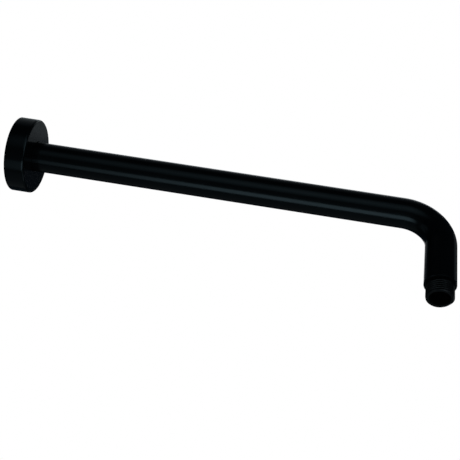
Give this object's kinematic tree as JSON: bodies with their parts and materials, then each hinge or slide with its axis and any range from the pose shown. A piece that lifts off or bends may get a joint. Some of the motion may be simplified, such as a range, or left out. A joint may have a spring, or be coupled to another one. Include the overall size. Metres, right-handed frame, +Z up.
{
  "type": "shower arm",
  "caption": "Wall-mounted shower arm: a round tube bent down to a male-threaded outlet, threaded at the wall end too, with a round wall flange that slides along the tube.",
  "frame": {"origin": "on the arm's axis, in the plane of the wall, where the flange's back rim lies at rest", "axes": "+X along the arm, away from the wall; +Z up; the outlet points down, along -Z, at the far end"},
  "size_m": [0.362, 0.06, 0.1103],
  "materials": {
    "matte_black": "matte",
    "black_thread": "satin",
    "seal_rubber": "matte"
  },
  "bodies": {
    "arm": {"arm_tube": "matte_black", "inlet_nipple": "black_thread", "outlet_nipple": "black_thread"},
    "ring": {"flange_ring": "seal_rubber"},
    "flange": {"wall_flange": "matte_black"}
  },
  "joints": [
    {"name": "flange_slide", "type": "slide", "parent": "arm", "child": "ring", "axis": [1, 0, 0], "range_m": [0, 0.298]},
    {"name": "flange_turn", "type": "hinge", "parent": "ring", "child": "flange", "pos_m": [0.01275, 0, 0], "axis": [1, 0, 0], "continuous": true}
  ]
}
